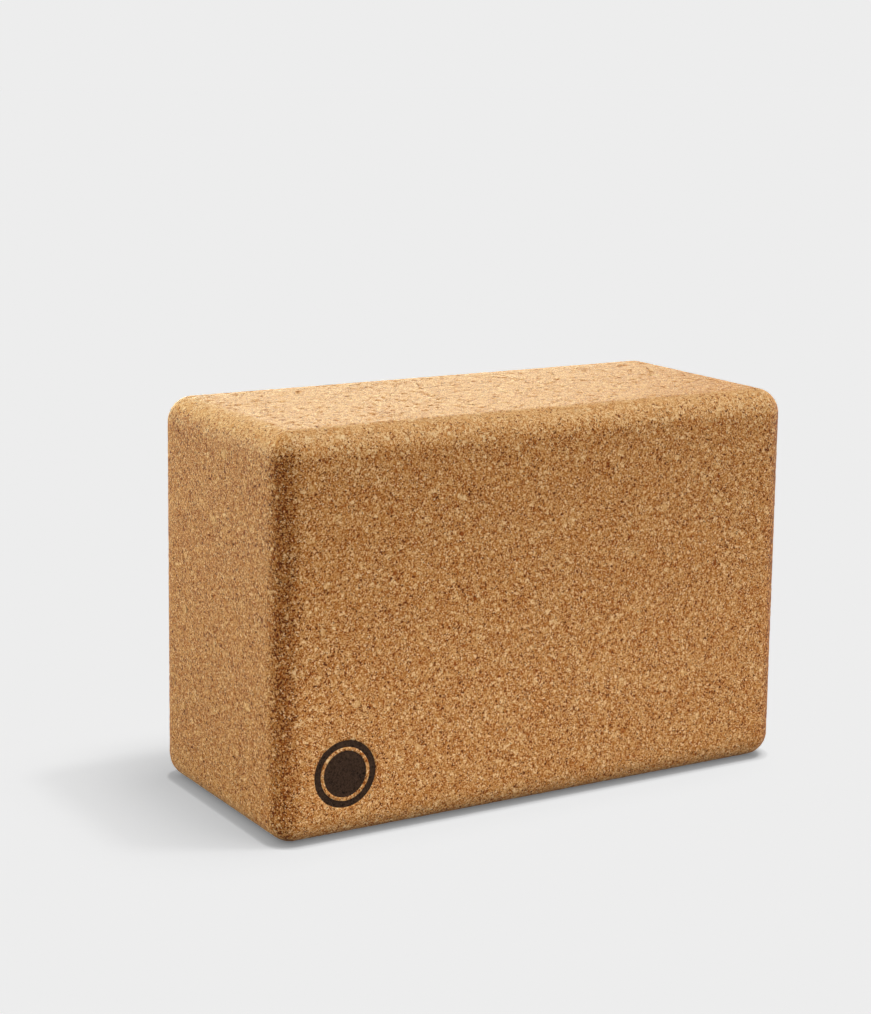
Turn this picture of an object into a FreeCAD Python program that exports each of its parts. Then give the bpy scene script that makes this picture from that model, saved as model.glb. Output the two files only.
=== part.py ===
"""Cork yoga block: granules and binder pressed into one block, edges rounded, with a scorched round mark.

Frame: millimetres, +Z up, origin at the middle of the base. X runs along the length and the marked front face
looks towards -Y. The block stands on one of its two long narrow faces.
"""

import FreeCAD
import Part
import Sketcher
import itertools
import math
import os
import random

from FreeCAD import Vector

PARTS_FOLDER = "parts"
GRANULE_SEED = 9

# Driving dimensions in millimetres: alias, value, meaning
DIMENSIONS = (
    ("block_length", 228.6, "long side, along X"),
    ("block_depth", 101.6, "short side, along Y"),
    ("block_height", 152.4, "height as it stands, along Z"),
    ("edge_radius", 10.0, "round on all twelve edges"),
    ("mark_diameter", 25.4, "scorched mark, outside"),
    ("mark_inset_left", 4.6, "flat front left of the mark"),
    ("mark_inset_base", 2.4, "flat front under the mark"),
    ("mark_rim_width", 2.6, "scorched rim of the mark"),
    ("mark_ring_width", 1.3, "bare ring between rim and field"),
    ("mark_sink", 0.2, "scorched face below the front face"),
    ("char_depth", 0.4, "thickness of the scorched layer"),
    ("granule_pitch", 28.0, "spacing of the coarse granules"),
    ("granule_depth", 1.5, "how deep a coarse granule reaches"),
    ("granule_gap", 1.0, "least bare cork beside a coarse granule"),
    ("pale_width", 4.2, "longest pale granule"),
    ("amber_width", 3.6, "longest amber granule"),
    ("brown_width", 3.0, "longest brown granule"),
    ("bark_width", 2.4, "longest dark bark granule"),
)

# Kinds of coarse granule, as node name, alias of the longest one, and share of all the granules
GRANULE_KINDS = (
    ("pale_granules", "pale_width", 0.40),
    ("amber_granules", "amber_width", 0.25),
    ("brown_granules", "brown_width", 0.20),
    ("bark_granules", "bark_width", 0.15),
)
CORNER_COUNTS = (5, 6)
SHORTEST_SHARE = 0.65
NARROWEST_SHARE = 0.55
UNEVEN_SHARE = 0.3


def make_sheet(doc):
    """Spreadsheet with one aliased cell for each driving dimension."""
    sheet = doc.addObject("Spreadsheet::Sheet", "Dimensions")
    for row, (alias, value, meaning) in enumerate(DIMENSIONS, start=1):
        sheet.set(f"A{row}", alias)
        sheet.set(f"B{row}", str(value))
        sheet.set(f"C{row}", meaning)
        sheet.setAlias(f"B{row}", alias)
    doc.recompute()
    return sheet


def origin_plane(body, role):
    """One of a body's own origin planes, such as XY_Plane."""
    return next(plane for plane in body.Origin.OriginFeatures if plane.Role == role)


def new_sketch(body, name, role):
    """Sketch on one of the body's origin planes."""
    sketch = body.newObject("Sketcher::SketchObject", name)
    sketch.AttachmentSupport = [(origin_plane(body, role), "")]
    sketch.MapMode = "FlatFace"
    return sketch


def bind_distance(sketch, kind, places, start, expression):
    """Adds a size constraint to a sketch and binds it to the sheet."""
    index = sketch.addConstraint(Sketcher.Constraint(kind, *places, start))
    sketch.setExpression(f"Constraints[{index}]", expression)


def draw_centred_rectangle(sketch, sheet):
    """The block's plan: a rectangle centred on the sketch's origin."""
    half_x, half_y = sheet.block_length / 2, sheet.block_depth / 2
    corners = [
        Vector(-half_x, -half_y, 0),
        Vector(half_x, -half_y, 0),
        Vector(half_x, half_y, 0),
        Vector(-half_x, half_y, 0),
    ]
    for start, end in zip(corners, corners[1:] + corners[:1]):
        sketch.addGeometry(Part.LineSegment(start, end))
    for line in range(4):
        sketch.addConstraint(Sketcher.Constraint("Coincident", line, 2, (line + 1) % 4, 1))
    for line in (0, 2):
        sketch.addConstraint(Sketcher.Constraint("Horizontal", line))
    for line in (1, 3):
        sketch.addConstraint(Sketcher.Constraint("Vertical", line))
    sketch.addConstraint(Sketcher.Constraint("Symmetric", 0, 1, 1, 2, -1, 1))
    bind_distance(sketch, "DistanceX", (0, 1, 0, 2), 2 * half_x, "Dimensions.block_length")
    bind_distance(sketch, "DistanceY", (1, 1, 1, 2), 2 * half_y, "Dimensions.block_depth")


RIM_OUTSIDE = "Dimensions.mark_diameter"
RIM_INSIDE = "Dimensions.mark_diameter - 2 * Dimensions.mark_rim_width"
FIELD_OUTSIDE = RIM_INSIDE + " - 2 * Dimensions.mark_ring_width"
MARK_FROM_LEFT = "Dimensions.edge_radius + Dimensions.mark_inset_left + Dimensions.mark_diameter / 2"
MARK_FROM_BASE = "Dimensions.edge_radius + Dimensions.mark_inset_base + Dimensions.mark_diameter / 2"


def mark_centre(sheet):
    """The mark's centre on the front face, as X and Z."""
    corner = sheet.edge_radius + sheet.mark_diameter / 2
    return corner + sheet.mark_inset_left - sheet.block_length / 2, corner + sheet.mark_inset_base


def draw_mark_circles(sketch, sheet, diameters):
    """Concentric circles of the mark, in the plane of the front face."""
    centre = Vector(*mark_centre(sheet), 0)
    for number, diameter in enumerate(diameters):
        size = sheet.mark_diameter - number
        circle = sketch.addGeometry(Part.Circle(centre, Vector(0, 0, 1), size / 2))
        if number == 0:
            left_of_middle = f"Dimensions.block_length / 2 - ({MARK_FROM_LEFT})"
            bind_distance(sketch, "DistanceX", (circle, 3, -1, 1), -centre.x, left_of_middle)
            bind_distance(sketch, "DistanceY", (-1, 1, circle, 3), centre.y, MARK_FROM_BASE)
        else:
            sketch.addConstraint(Sketcher.Constraint("Coincident", circle, 3, 0, 3))
        bind_distance(sketch, "Diameter", (circle,), size, diameter)


def make_core(doc, sheet):
    """The pressed block with its edges rounded and the mark's shallow recess."""
    body = doc.addObject("PartDesign::Body", "pressed_core")
    plan = new_sketch(body, "block_plan", "XY_Plane")
    draw_centred_rectangle(plan, sheet)
    pad = body.newObject("PartDesign::Pad", "block_pad")
    pad.Profile = plan
    pad.setExpression("Length", "Dimensions.block_height")
    doc.recompute()

    rounds = body.newObject("PartDesign::Fillet", "rounded_edges")
    rounds.Base = (pad, [f"Edge{n}" for n in range(1, len(pad.Shape.Edges) + 1)])
    rounds.setExpression("Radius", "Dimensions.edge_radius")
    doc.recompute()
    plain_volume = rounds.Shape.Volume

    outline = new_sketch(body, "mark_recess_outline", "XZ_Plane")
    outline.setExpression("AttachmentOffset.Base.z", "Dimensions.block_depth / 2")
    draw_mark_circles(outline, sheet, (RIM_OUTSIDE, RIM_INSIDE, FIELD_OUTSIDE))
    recess = body.newObject("PartDesign::Pocket", "mark_recess")
    recess.Profile = outline
    recess.setExpression("Length", "Dimensions.mark_sink + Dimensions.char_depth")
    doc.recompute()
    if not recess.Shape.Volume < plain_volume:
        raise RuntimeError("the mark's recess cut nothing")
    return body


def make_scorched_layer(doc, sheet, name, diameters):
    """A thin scorched layer on the floor of the mark's recess, bounded by the given circles."""
    body = doc.addObject("PartDesign::Body", name)
    body.Label = name
    outline = new_sketch(body, name + "_outline", "XZ_Plane")
    outline.setExpression("AttachmentOffset.Base.z", "Dimensions.block_depth / 2 - Dimensions.mark_sink")
    draw_mark_circles(outline, sheet, diameters)
    pad = body.newObject("PartDesign::Pad", name + "_pad")
    pad.Profile = outline
    pad.Reversed = True
    pad.setExpression("Length", "Dimensions.char_depth")
    doc.recompute()
    return body


def block_faces(sheet):
    """The six flat faces: centre, two axes whose cross product points outward, and the two full sizes."""
    x, y, z = Vector(1, 0, 0), Vector(0, 1, 0), Vector(0, 0, 1)
    length, depth, height = sheet.block_length, sheet.block_depth, sheet.block_height
    middle = z * (height / 2)
    return {
        "front": (middle - y * (depth / 2), x, z, length, height),
        "back": (middle + y * (depth / 2), -x, z, length, height),
        "left": (middle - x * (length / 2), -y, z, depth, height),
        "right": (middle + x * (length / 2), y, z, depth, height),
        "top": (z * height, x, y, length, depth),
        "base": (Vector(0, 0, 0), x, -y, length, depth),
    }


def granule_outline(draw, width):
    """Corners of an irregular convex granule: uneven places round an ellipse, turned at random."""
    count = draw.choice(CORNER_COUNTS)
    long_half = width * draw.uniform(SHORTEST_SHARE, 1.0) / 2
    short_half = long_half * draw.uniform(NARROWEST_SHARE, 1.0)
    turn = draw.uniform(0, math.pi)
    corners = []
    for number in range(count):
        angle = 2 * math.pi * (number + draw.uniform(-UNEVEN_SHARE, UNEVEN_SHARE)) / count
        along, aside = long_half * math.cos(angle), short_half * math.sin(angle)
        corners.append(
            (along * math.cos(turn) - aside * math.sin(turn), along * math.sin(turn) + aside * math.cos(turn))
        )
    return corners


def near_mark(face, spot, half_width, sheet):
    """True where a granule on the front face would come too close to the mark."""
    if face != "front":
        return False
    mark_x, mark_z = mark_centre(sheet)
    aside = spot[0] - mark_x
    above = spot[1] + sheet.block_height / 2 - mark_z
    return math.hypot(aside, above) < sheet.mark_diameter / 2 + half_width + sheet.granule_gap


def granule_spots(draw, face, sizes, half_width, sheet):
    """One loose place in each cell of a grid over a face's flat, measured from the face's centre."""
    flat = [size - 2 * sheet.edge_radius for size in sizes]
    counts = [max(1, round(side / sheet.granule_pitch)) for side in flat]
    cells = [side / count for side, count in zip(flat, counts)]
    room = [max(0.0, cell / 2 - half_width - sheet.granule_gap) for cell in cells]
    spots = []
    for place in itertools.product(*map(range, counts)):
        spot = [
            (number - (count - 1) / 2) * cell + draw.uniform(-play, play)
            for number, count, cell, play in zip(place, counts, cells, room)
        ]
        if not near_mark(face, spot, half_width, sheet):
            spots.append(spot)
    return spots


def deal_kinds(draw, count):
    """A kind for each granule of a face, in the kinds' shares, with every kind on every face."""
    names = [kind[0] for kind in GRANULE_KINDS]
    shares = [kind[2] for kind in GRANULE_KINDS]
    deck = names + draw.choices(names, shares, k=max(0, count - len(names)))
    draw.shuffle(deck)
    return deck


def granule_places(sheet):
    """Yields the kind, the corners on the face and the outward direction of each coarse granule."""
    widths = {name: getattr(sheet, alias) for name, alias, _ in GRANULE_KINDS}
    for face, (centre, first, second, *sizes) in block_faces(sheet).items():
        draw = random.Random(f"{face} {GRANULE_SEED}")
        spots = granule_spots(draw, face, sizes, max(widths.values()) / 2, sheet)
        for spot, name in zip(spots, deal_kinds(draw, len(spots))):
            corners = granule_outline(draw, widths[name])
            points = [centre + first * (spot[0] + a) + second * (spot[1] + b) for a, b in corners]
            yield name, points, first.cross(second)


def prism(points, reach):
    """Straight-sided solid from a flat polygon."""
    return Part.Face(Part.makePolygon(points + points[:1])).extrude(reach)


def make_granules(doc, sheet):
    """The coarse granules, flush with the faces, as one object for each kind, and their pockets' tool."""
    granules = {kind[0]: [] for kind in GRANULE_KINDS}
    cutters = []
    for name, points, outward in granule_places(sheet):
        inward = outward * -sheet.granule_depth
        granules[name].append(prism(points, inward))
        raised = [point + outward * sheet.granule_depth for point in points]
        cutters.append(prism(raised, inward * 2))
    kinds = []
    for name, solids in granules.items():
        kind = doc.addObject("Part::Feature", name)
        kind.Label = name
        kind.Shape = Part.makeCompound(solids)
        kinds.append(kind)
    pockets = doc.addObject("Part::Feature", "granule_pockets")
    pockets.Shape = Part.makeCompound(cutters)
    return kinds, pockets


def make_block(doc, core, pockets):
    """The pressed block with a pocket for each coarse granule."""
    block = doc.addObject("Part::Cut", "cork_block")
    block.Label = "cork_block"
    block.Base = core
    block.Tool = pockets
    doc.recompute()
    return block


def check_document(doc, parts):
    """Stops on a failed feature or a bad shape."""
    for item in doc.Objects:
        if {"Invalid", "Error"} & set(item.State):
            raise RuntimeError(f"{item.Label} failed: {item.State}")
    for part in parts:
        shape = part.Shape
        if shape.isNull() or not shape.isValid() or not shape.Solids:
            raise RuntimeError(f"{part.Label} has no valid solid")
        print(f"{part.Label}: {len(shape.Solids)} solids, {shape.Volume / 1000:.3f} cm3")


def main():
    doc = FreeCAD.newDocument("yoga_block")
    sheet = make_sheet(doc)
    core = make_core(doc, sheet)
    rim = make_scorched_layer(doc, sheet, "mark_rim", (RIM_OUTSIDE, RIM_INSIDE))
    field = make_scorched_layer(doc, sheet, "mark_field", (FIELD_OUTSIDE,))
    granules, pockets = make_granules(doc, sheet)
    block = make_block(doc, core, pockets)
    doc.recompute()

    parts = [block, rim, field, *granules]
    check_document(doc, parts)
    os.makedirs(PARTS_FOLDER, exist_ok=True)
    for part in parts:
        part.Shape.exportStep(os.path.join(PARTS_FOLDER, part.Label + ".step"))


main()
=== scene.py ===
"""Looks of a cork yoga block: its granular skin, the finishes of all its pieces, the studio and the camera.

Metres, in the frame of the CAD model: X along the block, the marked front face towards -Y, Z up.
"""

import bmesh
import bpy
import itertools
import math
import numpy as np
from mathutils import Matrix, Vector


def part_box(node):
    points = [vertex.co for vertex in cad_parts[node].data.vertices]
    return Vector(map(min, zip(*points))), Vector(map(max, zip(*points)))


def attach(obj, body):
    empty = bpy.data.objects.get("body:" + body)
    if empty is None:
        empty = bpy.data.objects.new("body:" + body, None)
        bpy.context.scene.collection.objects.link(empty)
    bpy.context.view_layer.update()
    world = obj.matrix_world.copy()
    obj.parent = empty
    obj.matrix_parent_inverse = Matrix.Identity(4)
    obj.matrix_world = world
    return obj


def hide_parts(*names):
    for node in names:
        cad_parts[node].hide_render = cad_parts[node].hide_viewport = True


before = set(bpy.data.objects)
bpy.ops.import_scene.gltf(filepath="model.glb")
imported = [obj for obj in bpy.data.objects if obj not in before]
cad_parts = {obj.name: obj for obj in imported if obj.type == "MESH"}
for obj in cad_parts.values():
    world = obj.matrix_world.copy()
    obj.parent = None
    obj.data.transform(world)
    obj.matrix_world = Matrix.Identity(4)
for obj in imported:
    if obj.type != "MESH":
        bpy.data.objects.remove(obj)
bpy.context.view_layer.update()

MM = 0.001

# Block, as in the CAD model
EDGE_RADIUS = 10.0 * MM
GRANULE_NODES = ("pale_granules", "amber_granules", "brown_granules", "bark_granules")
MARK_NODES = ("mark_rim", "mark_field")

# Granules of the skin
SKIN_SEED = 5
GRANULE_SPACING = 2.25 * MM
GRANULE_JITTER = 0.36 * GRANULE_SPACING
CROWN_HEIGHT = (-0.04 * MM, 0.04 * MM)
SEAM_DEPTH = (0.02 * MM, 0.14 * MM)
PIT_SHARE = 0.05
PIT_DEPTH = (0.25 * MM, 0.60 * MM)

# Pockets in the skin
POCKET_OVERSHOOT = 1.0 * MM
NEAR_FACE = 0.3 * MM
SAME_POINT = 0.001 * MM

# Colours of cork, in linear light: tones are shares of the mean one, and powers make the dark ones redder
CORK_MEAN = (0.568, 0.2455, 0.0622)
TONE_POWERS = (0.58, 1.18, 2.1)
CHAR_MEAN = (0.040, 0.021, 0.012)
CHAR_POWERS = (0.5, 0.55, 0.6)
TONE_STOPS = (0.12, 0.3, 0.5, 0.75, 1.0, 1.3, 1.7, 2.2)
TONE_FULL = 2.2
TONE_REDDEST = 0.25
TONE_BASE = 0.195
COARSE_TONES = {"pale_granules": 1.5, "amber_granules": 1.15, "brown_granules": 0.7, "bark_granules": 0.35}
COARSE_CONTRAST = 0.4

# Shakes that make the cells of cork irregular: size and reach in millimetres
SHAKES = ((1.4, 1.0), (0.5, 0.5))

# Cells of cork: sizes in millimetres, and the random draws between which a cell turns into a feature
FLAKE_SIZE = 2.3
CHIP_SIZE = 1.2
HOLE_SIZE = 0.7
GRAIN_SIZE = 0.42
BROAD_SIZE = 14.0
PALE_CHIPS = (0.93, 0.95)
HOLES = (0.030, 0.025)
GLINTS = (0.91, 0.94)
SPECKS = (0.09, 0.06)

# Seams between flakes: how near the border they are, as a share of a flake, and where they come and go
SEAMS = (0.06, 0.02)
PATCH_SIZE = 3.5
PATCHES = (0.45, 0.6)

# What each feature adds to the tone, and to the height as a share of the bump's reach
FEATURE_TONES = {
    "flake": 0.08, "pale": 0.75, "grain": 1.5, "glint": 1.3,
    "speck": -1.0, "hole": -1.3, "seam": -0.36, "broad": 0.02,
}
FEATURE_HEIGHTS = {"grain": 0.5, "seam": -0.4, "speck": -0.5, "hole": -0.5, "pale": 0.2}
BUMP_REACH = 0.25 * MM

# Rounds: millimetres into a round where its painted shade and highlight begin and are full, and how even
# the top face is
UPRIGHT_ROUND = (0.2, 7.0)
LEVEL_ROUND = (0.2, 2.0)
# Painted shade: how much darker the upright rounds are made
UPRIGHT_PAINTED_SHADE = -0.39
# Level rounds: a little lighter as worn cork where they face sideways or down, and a painted highlight that
# makes them far lighter where they face up
LEVEL_WEAR_AND_HIGHLIGHT = (0.08, 0.62)
ROUND_BUMP = 1.4
TOP_CALM = 0.35
CALM_POWER = 4.0

# Gloss
CORK_ROUGHNESS = 0.5
CORK_SPECULAR = 0.12
CHAR_SPECULAR = 0.05

# Floor: levels in linear light, and ranges in millimetres out from the flat of the block's underside, over
# which a painted contact shade fades out of the floor's glow
FLOOR_REACH = 8000.0 * MM
BACKGROUND = 0.847
FLOOR_ALBEDO = 0.95
# Painted contact shade: the glow is a quarter where the block touches the floor, rises under the round, and
# is full just past its edge
CONTACT_SHADE_UNDER_ROUND = (0.0, 10.0)
CONTACT_SHADE_EDGE = (10.2, 11.4)
CONTACT_SHADE_SHARES = (0.25, 0.50, 0.25)

# Suns, which light the block and the floor: name, azimuth, elevation and width in degrees, level
SUN_DISTANCE = 1.0
SUNS = (
    ("key_light", 62, 70, 6, 0.08),
    ("overhead_light", 30, 80, 20, 0.14),
    ("side_light", 60, 78, 30, 0.17),
)

# Softboxes, which light only the block: name, azimuth, elevation, distance, width and height, level, colour
WHITE = (1.0, 1.0, 1.0)
FAINT_WARM = (1.0, 1.0, 0.85)
WARM = (1.0, 1.0, 0.7)
SOFTBOXES = (
    ("left_softbox", -128, 9, 1.4, (1.2, 0.7), 6.7, FAINT_WARM),
    ("front_softbox", 6, 54, 1.4, (0.5, 0.5), 12.9, WHITE),
    ("right_softbox", 80, 10, 1.4, (1.0, 1.0), 2.7, WHITE),
    ("back_strip", 163, 11, 1.4, (1.2, 0.5), 7.2, WARM),
    ("front_strip", -5, -22.6, 0.167, (0.5, 0.02), 3.8, WHITE),
)

# Camera that took the photograph: angles in degrees, lens and optical axis in pixels of the picture
FRAME_PIXELS = (871, 1014)
CAMERA_AZIMUTH = -31.073
CAMERA_ELEVATION = 9.420
CAMERA_ROLL = 0.752
CAMERA_DISTANCE = 909.91 * MM
AIM_RIGHT = -16.33 * MM
AIM_UP = 71.85 * MM
FOCAL_PIXELS = 2284.2
AXIS_ROW = 400.0
SENSOR_MM = 36.0
NEAREST_SEEN = 10.0 * MM


def block_box():
    """Centre and half sizes of the block."""
    low, high = (np.array(corner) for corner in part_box("cork_block"))
    return (low + high) / 2, (high - low) / 2


def new_object(name, data):
    """Object in the scene with the given data."""
    item = bpy.data.objects.new(name, data)
    bpy.context.scene.collection.objects.link(item)
    return item


# Skin


def on_rounded_box(points, half):
    """Moves points near the block's surface onto it, and gives the outward directions there."""
    inner = half - EDGE_RADIUS
    core = np.clip(points, -inner, inner)
    outward = points - core
    outward /= np.linalg.norm(outward, axis=1, keepdims=True)
    return core + EDGE_RADIUS * outward, outward


def box_coordinates(half, count):
    """Places along one side, evenly spaced over its flat and the halves of its two rounds."""
    flat = half - EDGE_RADIUS
    reach = flat + EDGE_RADIUS * math.pi / 4
    along = np.linspace(-reach, reach, count + 1)
    bend = np.clip(np.abs(along) - flat, 0, None) / EDGE_RADIUS
    return np.clip(along, -flat, flat) + np.sign(along) * EDGE_RADIUS * np.tan(bend)


def lattice_quads(counts):
    """Quads over the surface of a box lattice, wound outwards, as four lattice places each."""
    quads = []
    for axis in range(3):
        second, third = (axis + 1) % 3, (axis + 2) % 3
        for end in (0, counts[axis]):
            for j, k in itertools.product(range(counts[second]), range(counts[third])):
                ring = [(j, k), (j + 1, k), (j + 1, k + 1), (j, k + 1)]
                if end == 0:
                    ring.reverse()
                quad = np.full((4, 3), end)
                quad[:, (second, third)] = ring
                quads.append(quad)
    return np.array(quads)


def granule_net(half, draw):
    """Closed net of triangles over the block, whose corners are the scattered middles of the granules."""
    counts = [round(2 * (side - EDGE_RADIUS * (1 - math.pi / 4)) / GRANULE_SPACING) for side in half]
    places, corners = np.unique(lattice_quads(counts).reshape(-1, 3), axis=0, return_inverse=True)
    sides = [box_coordinates(side, count) for side, count in zip(half, counts)]
    points = np.stack([side[places[:, axis]] for axis, side in enumerate(sides)], axis=1)
    points, _ = on_rounded_box(points, half)
    points += draw.uniform(-GRANULE_JITTER, GRANULE_JITTER, points.shape)
    points, _ = on_rounded_box(points, half)

    a, b, c, d = corners.reshape(-1, 4).T
    split_ac = np.linalg.norm(points[a] - points[c], axis=1) < np.linalg.norm(points[b] - points[d], axis=1)
    first = np.where(split_ac, (a, b, c), (a, b, d)).T
    second = np.where(split_ac, (a, c, d), (b, c, d)).T
    return points, np.concatenate([first, second])


def granule_fans(net):
    """Fan triangles of the granules: a granule's middle and two net triangles that share a side at it."""
    owner = {}
    for number, (a, b, c) in enumerate(net.tolist()):
        owner[a, b] = owner[b, c] = owner[c, a] = number
    return np.array([(start, owner[end, start], left) for (start, end), left in owner.items()])


def granular_skin():
    """The block's surface with every granule a low crown, seams between them and pits at some corners."""
    draw = np.random.default_rng(SKIN_SEED)
    centre, half = block_box()
    middles, net = granule_net(half, draw)
    crowns, crown_out = on_rounded_box(middles, half)
    corners, corner_out = on_rounded_box(middles[net].mean(axis=1), half)
    rise = draw.uniform(*CROWN_HEIGHT, len(crowns))
    drop = draw.uniform(*SEAM_DEPTH, len(corners))
    pitted = draw.random(len(corners)) < PIT_SHARE
    drop[pitted] += draw.uniform(*PIT_DEPTH, pitted.sum())

    points = np.concatenate([crowns + crown_out * rise[:, None], corners - corner_out * drop[:, None]])
    fans = granule_fans(net)
    mesh = bpy.data.meshes.new("cork_skin")
    mesh.from_pydata((points + centre).tolist(), [], (fans + (0, len(crowns), len(crowns))).tolist())
    return new_object("cork_skin", mesh)


def pocket_tool():
    """Solids that cut the pockets of the coarse granules and the mark, run out past the skin."""
    centre, half = block_box()
    build = bmesh.new()
    for node in GRANULE_NODES + MARK_NODES:
        build.from_mesh(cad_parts[node].data)
    bmesh.ops.remove_doubles(build, verts=build.verts, dist=SAME_POINT)
    for vertex in build.verts:
        place = np.array(vertex.co) - centre
        near = half - np.abs(place) < NEAR_FACE
        vertex.co = centre + place + np.sign(place) * near * POCKET_OVERSHOOT
    mesh = bpy.data.meshes.new("pocket_tool")
    build.to_mesh(mesh)
    build.free()
    return new_object("pocket_tool", mesh)


def cut_pockets(skin):
    """Cuts a pocket in the skin for each CAD granule and for the mark."""
    tool = pocket_tool()
    cut = skin.modifiers.new("pockets", "BOOLEAN")
    cut.operation = "DIFFERENCE"
    cut.solver = "EXACT"
    cut.object = tool
    depsgraph = bpy.context.evaluated_depsgraph_get()
    mesh = bpy.data.meshes.new_from_object(skin.evaluated_get(depsgraph))
    skin.modifiers.remove(cut)
    skin.data = mesh
    bpy.data.objects.remove(tool)


# Finishes


class Finish:
    """The node tree of a material or a world under construction."""

    def __init__(self, owner):
        owner.use_nodes = True
        self.owner = owner
        self.nodes = owner.node_tree.nodes
        self.links = owner.node_tree.links

    def surface(self):
        """Inputs of the material's main shader."""
        return self.nodes["Principled BSDF"].inputs

    def feed(self, socket, value):
        """Joins a socket to another one, or sets it to a plain value."""
        if isinstance(value, bpy.types.NodeSocket):
            self.links.new(value, socket)
        else:
            socket.default_value = value

    def add(self, kind, sockets=None, **settings):
        """New node with its settings, and its named or numbered sockets fed."""
        node = self.nodes.new(kind)
        for name, value in settings.items():
            setattr(node, name, value)
        for key, value in (sockets or {}).items():
            self.feed(node.inputs[key], value)
        return node

    def math(self, operation, *values):
        """Output of a Math node."""
        return self.add("ShaderNodeMath", dict(enumerate(values)), operation=operation).outputs[0]

    def vector_math(self, operation, *values):
        """Output of a Vector Math node that gives a vector."""
        return self.add("ShaderNodeVectorMath", dict(enumerate(values)), operation=operation).outputs[0]

    def spread(self, value, low, high):
        """Value taken from low..high to 0..1, held at both ends."""
        sockets = {"Value": value, "From Min": low, "From Max": high}
        return self.add("ShaderNodeMapRange", sockets, interpolation_type="SMOOTHSTEP").outputs[0]

    def blend(self, share, start, end):
        """Value that goes from start to end as the share goes from 0 to 1."""
        return self.math("MULTIPLY_ADD", share, end - start, start)

    def weighted(self, *terms, base=0.0):
        """Base and a sum of values, each times its weight."""
        total = base
        for value, weight in terms:
            total = self.math("MULTIPLY_ADD", value, weight, total)
        return total

    def direct_view(self):
        """1 for rays that show a surface as it is, straight or in gloss, and 0 for its light on others."""
        rays = self.add("ShaderNodeLightPath").outputs
        gloss = self.math("MAXIMUM", rays["Is Glossy Ray"], rays["Is Transmission Ray"])
        return self.math("MAXIMUM", rays["Is Camera Ray"], gloss)

    def place(self):
        """Place on the block in millimetres."""
        return self.vector_math("MULTIPLY", self.add("ShaderNodeTexCoord").outputs["Object"], (1 / MM,) * 3)

    def noise(self, place, size):
        """Soft noise whose blobs have about the given size in millimetres."""
        return self.add("ShaderNodeTexNoise", {"Vector": place, "Scale": 1 / size})

    def cells(self, place, size, feature="F1"):
        """Cells of about the given size in millimetres."""
        return self.add("ShaderNodeTexVoronoi", {"Vector": place, "Scale": 1 / size}, feature=feature)

    def cell_draws(self, place, size):
        """Three random numbers from 0 to 1 for each cell of about the given size."""
        return self.add("ShaderNodeSeparateColor", {0: self.cells(place, size).outputs["Color"]}).outputs

    def shaken(self, place):
        """Place shaken by soft noise of several sizes, to make cells irregular."""
        for size, reach in SHAKES:
            shake = self.noise(place, size).outputs["Color"]
            place = self.vector_math("MULTIPLY_ADD", shake, (reach,) * 3, place)
        return place


def tone_ramp(finish, tone, means, powers):
    """Colour of each tone, as a ramp. Tones darker than the reddest one keep its tint."""
    ramp = finish.add("ShaderNodeValToRGB", {0: finish.math("DIVIDE", tone, TONE_FULL)})
    stops = ramp.color_ramp.elements
    # New stops start anywhere, and get their places below
    while len(stops) < len(TONE_STOPS):
        stops.new(0.5)
    for stop, level in zip(stops, TONE_STOPS):
        stop.position = level / TONE_FULL
        tinted = max(level, TONE_REDDEST)
        stop.color = [mean * tinted ** power * level / tinted for mean, power in zip(means, powers)] + [1.0]
    return ramp.outputs["Color"]


def rounded_edges(finish):
    """Two values that rise from 0 on the flat faces to 1 on the rounds: upright ones, and level ones."""
    centre, half = block_box()
    past = finish.vector_math("SUBTRACT", finish.place(), centre / MM)
    past = finish.vector_math("SUBTRACT", finish.vector_math("ABSOLUTE", past), (half - EDGE_RADIUS) / MM)
    x, y, z = finish.add("ShaderNodeSeparateXYZ", {0: past}).outputs
    upright = finish.math("MINIMUM", x, y)
    level = finish.math("MINIMUM", finish.math("MAXIMUM", x, y), z)
    return finish.spread(upright, *UPRIGHT_ROUND), finish.spread(level, *LEVEL_ROUND)


def facing_up(finish):
    """1 where the surface faces straight up, falling to 0 where it is upright or faces down."""
    facing = finish.add("ShaderNodeTexCoord").outputs["Normal"]
    upward = finish.add("ShaderNodeSeparateXYZ", {0: facing}).outputs["Z"]
    return finish.math("MAXIMUM", upward, 0.0)


def cork_features(finish):
    """How much of each feature of cork there is at a place, by name."""
    place = finish.place()
    shaken = finish.shaken(place)
    border = finish.cells(shaken, FLAKE_SIZE, "DISTANCE_TO_EDGE").outputs["Distance"]
    patch = finish.spread(finish.noise(place, PATCH_SIZE).outputs["Fac"], *PATCHES)
    speck_draw, glint_draw, grain = finish.cell_draws(shaken, GRAIN_SIZE)
    return {
        "flake": finish.cell_draws(shaken, FLAKE_SIZE)[0],
        "pale": finish.spread(finish.cell_draws(shaken, CHIP_SIZE)[0], *PALE_CHIPS),
        "grain": grain,
        "glint": finish.spread(glint_draw, *GLINTS),
        "speck": finish.spread(speck_draw, *SPECKS),
        "hole": finish.spread(finish.cell_draws(shaken, HOLE_SIZE)[0], *HOLES),
        "seam": finish.math("MULTIPLY", finish.spread(border, *SEAMS), patch),
        "broad": finish.noise(place, BROAD_SIZE).outputs["Fac"],
    }


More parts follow.
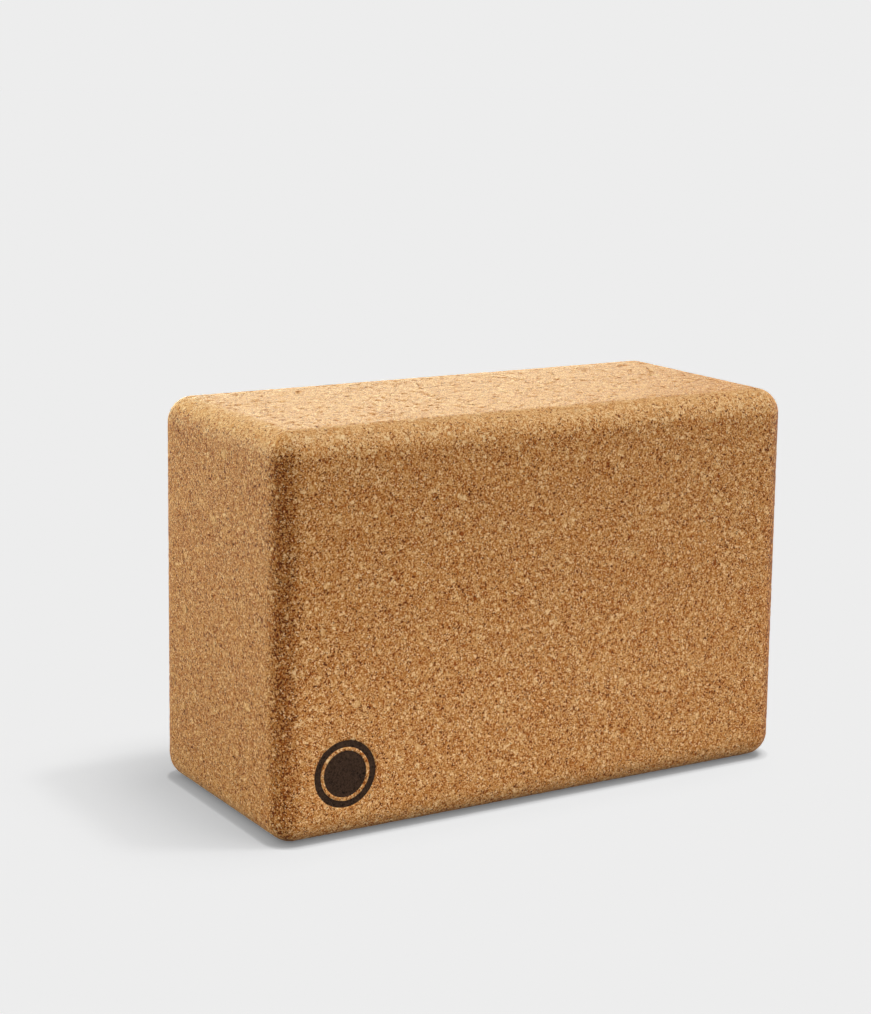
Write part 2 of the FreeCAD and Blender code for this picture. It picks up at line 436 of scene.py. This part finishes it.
def cork_detail(finish):
    """Tone, about 1, and height of cork: its features, painted shade on upright rounds, a painted highlight
    on upward rounds over slightly worn level ones, and a more even top.
    """
    features = cork_features(finish)
    tones = [(features[name], weight) for name, weight in FEATURE_TONES.items()]
    heights = [(features[name], weight) for name, weight in FEATURE_HEIGHTS.items()]
    upright_edge, level_edge = rounded_edges(finish)
    upward = facing_up(finish)

    # Painted highlight on the level rounds where they face up, over a slight lightening of worn cork
    wear_and_highlight = finish.math("MULTIPLY", level_edge, finish.blend(upward, *LEVEL_WEAR_AND_HIGHLIGHT))
    # Painted shade on the upright rounds
    painted_shade = finish.math("MULTIPLY", upright_edge, finish.math("SUBTRACT", 1.0, upward))
    tone = finish.weighted(*tones, (wear_and_highlight, 1.0), (painted_shade, UPRIGHT_PAINTED_SHADE), base=TONE_BASE)
    calm = finish.math("MULTIPLY", finish.math("POWER", upward, CALM_POWER), TOP_CALM)
    tone = finish.math("MULTIPLY_ADD", calm, finish.math("SUBTRACT", 1.0, tone), tone)
    rounded = finish.math("MAXIMUM", upright_edge, level_edge)
    height = finish.math("MULTIPLY", finish.weighted(*heights), finish.blend(rounded, 1.0, ROUND_BUMP))
    return tone, height


def finish_surface(finish, color, height, specular):
    """Joins a colour and a height to the shader, and sets the rest of it."""
    surface = finish.surface()
    bump = finish.add("ShaderNodeBump", {"Height": height, "Distance": BUMP_REACH, "Strength": 1.0})
    finish.feed(surface["Base Color"], color)
    finish.feed(surface["Normal"], bump.outputs[0])
    finish.feed(surface["Roughness"], CORK_ROUGHNESS)
    finish.feed(surface["Specular IOR Level"], specular)
    return finish.owner


def cork_material():
    """Pressed cork."""
    finish = Finish(bpy.data.materials.new("pressed_cork"))
    tone, height = cork_detail(finish)
    return finish_surface(finish, tone_ramp(finish, tone, CORK_MEAN, TONE_POWERS), height, CORK_SPECULAR)


def granule_material(name, level):
    """One kind of coarse granule: the same fine grain about a tone of its own."""
    finish = Finish(bpy.data.materials.new(name))
    tone, height = cork_detail(finish)
    tone = finish.blend(tone, (1 - COARSE_CONTRAST) * level, level)
    return finish_surface(finish, tone_ramp(finish, tone, CORK_MEAN, TONE_POWERS), height, CORK_SPECULAR)


def char_material():
    """Scorched cork: nearly even and dark, with the granules still showing."""
    finish = Finish(bpy.data.materials.new("scorched_cork"))
    tone, height = cork_detail(finish)
    return finish_surface(finish, tone_ramp(finish, tone, CHAR_MEAN, CHAR_POWERS), height, CHAR_SPECULAR)


def make_skin():
    """The dressed skin, which takes the place of the CAD block in pictures."""
    skin = granular_skin()
    cut_pockets(skin)
    skin.data.materials.clear()
    skin.data.materials.append(cork_material())
    skin.data.shade_smooth()
    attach(skin, "root")
    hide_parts("cork_block")
    # The skin's warm light stays off the floor, which is neutral in the photograph
    skin.visible_diffuse = False
    return skin


def dress_nodes():
    """Gives the coarse granules and the mark their finishes."""
    finishes = {node: granule_material(node + "_finish", tone) for node, tone in COARSE_TONES.items()}
    finishes.update(dict.fromkeys(MARK_NODES, char_material()))
    for node, material in finishes.items():
        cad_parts[node].data.materials.clear()
        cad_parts[node].data.materials.append(material)


# Studio and camera


def sun_on_floor():
    """Light of the suns on the floor, where 1 shows a white floor as white."""
    return sum(level * math.sin(math.radians(elevation)) for _, _, elevation, _, level in SUNS)


def floor_material():
    """Pale floor that takes the block's shadow, and glows to the background's level away from the block,
    with painted shade where its glow dims under the block's round.
    """
    finish = Finish(bpy.data.materials.new("studio_floor"))
    surface = finish.surface()
    finish.feed(surface["Base Color"], (FLOOR_ALBEDO,) * 3 + (1,))
    finish.feed(surface["Roughness"], 1.0)
    finish.feed(surface["Specular IOR Level"], 0.0)
    flat = (block_box()[1] - EDGE_RADIUS) / MM
    away = finish.vector_math("SUBTRACT", finish.vector_math("ABSOLUTE", finish.place()), (*flat[:2], 0))
    away = finish.vector_math("MAXIMUM", away, (0, 0, 0))
    away = finish.add("ShaderNodeVectorMath", {0: away}, operation="LENGTH").outputs["Value"]
    # Painted shade under the block's round, cut out of the glow
    touching, under, outside = CONTACT_SHADE_SHARES
    rise = finish.spread(away, *CONTACT_SHADE_UNDER_ROUND)
    step = finish.spread(away, *CONTACT_SHADE_EDGE)
    glow = finish.weighted((rise, under), (step, outside), base=touching)
    glow = finish.math("MULTIPLY", glow, BACKGROUND - FLOOR_ALBEDO * sun_on_floor())
    finish.feed(surface["Emission Color"], (1, 1, 1, 1))
    finish.feed(surface["Emission Strength"], finish.math("MULTIPLY", glow, finish.direct_view()))
    return finish.owner


def make_floor():
    """Large flat floor under the block."""
    mesh = bpy.data.meshes.new("studio_floor")
    corners = [(x * FLOOR_REACH, y * FLOOR_REACH, 0) for x, y in ((-1, -1), (1, -1), (1, 1), (-1, 1))]
    mesh.from_pydata(corners, [], [(0, 1, 2, 3)])
    mesh.materials.append(floor_material())
    floor = new_object("studio_floor", mesh)


def make_world():
    """The pale background where the camera sees past the floor."""
    finish = Finish(bpy.data.worlds.new("studio"))
    bpy.context.scene.world = finish.owner
    background = finish.nodes["Background"].inputs
    finish.feed(background["Color"], (BACKGROUND,) * 3 + (1,))
    finish.feed(background["Strength"], finish.direct_view())


def direction(azimuth, elevation):
    """Direction from the block, with azimuth 0 at the front and elevation up, in degrees."""
    a, e = math.radians(azimuth), math.radians(elevation)
    return Vector((math.sin(a) * math.cos(e), -math.cos(a) * math.cos(e), math.sin(e)))


def aim_lamp(name, lamp, azimuth, elevation, distance):
    """Lamp that faces the block's middle from the given side."""
    towards = direction(azimuth, elevation)
    place = Matrix.Translation(Vector(block_box()[0]) + towards * distance)
    item = new_object(name, lamp)
    item.matrix_world = place @ towards.to_track_quat("Z", "Y").to_matrix().to_4x4()
    item.visible_camera = False
    return item


def make_sun(name, azimuth, elevation, width, level):
    """Even light from one side, as wide as it looks from the block."""
    lamp = bpy.data.lights.new(name, "SUN")
    lamp.angle = math.radians(width)
    lamp.energy = level * math.pi
    aim_lamp(name, lamp, azimuth, elevation, SUN_DISTANCE)


def make_softbox(name, azimuth, elevation, distance, size, level, color, receivers):
    """Rectangular lamp that lights only the given objects."""
    lamp = bpy.data.lights.new(name, "AREA")
    lamp.shape = "RECTANGLE"
    lamp.size, lamp.size_y = size
    lamp.color = color
    lamp.energy = level * size[0] * size[1] * math.pi
    aim_lamp(name, lamp, azimuth, elevation, distance).light_linking.receiver_collection = receivers


def make_lights(skin):
    """The suns, and the softboxes that light the block without marking the floor."""
    receivers = bpy.data.collections.new("block")
    for item in (skin, *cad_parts.values()):
        receivers.objects.link(item)
    for sun in SUNS:
        make_sun(*sun)
    for softbox in SOFTBOXES:
        make_softbox(*softbox, receivers)


def make_camera():
    """Camera that took the photograph, set from where it looks and its lens in pixels."""
    lens = bpy.data.cameras.new("camera")
    lens.sensor_fit = "AUTO"
    lens.sensor_width = SENSOR_MM
    lens.lens = SENSOR_MM * FOCAL_PIXELS / max(FRAME_PIXELS)
    lens.shift_y = (AXIS_ROW - FRAME_PIXELS[1] / 2) / max(FRAME_PIXELS)
    lens.clip_start = NEAREST_SEEN
    camera = new_object("camera", lens)
    back = direction(CAMERA_AZIMUTH, CAMERA_ELEVATION)
    turn = back.to_track_quat("Z", "Y").to_matrix() @ Matrix.Rotation(math.radians(CAMERA_ROLL), 3, "Z")
    right, up = turn.col[0], turn.col[1]
    aim = Vector(block_box()[0]) + right * AIM_RIGHT + up * AIM_UP
    camera.matrix_world = Matrix.Translation(aim + back * CAMERA_DISTANCE) @ turn.to_4x4()
    bpy.context.scene.camera = camera


block_skin = make_skin()
dress_nodes()
make_floor()
make_world()
make_lights(block_skin)
make_camera()
bpy.context.scene.view_settings.view_transform = "Standard"
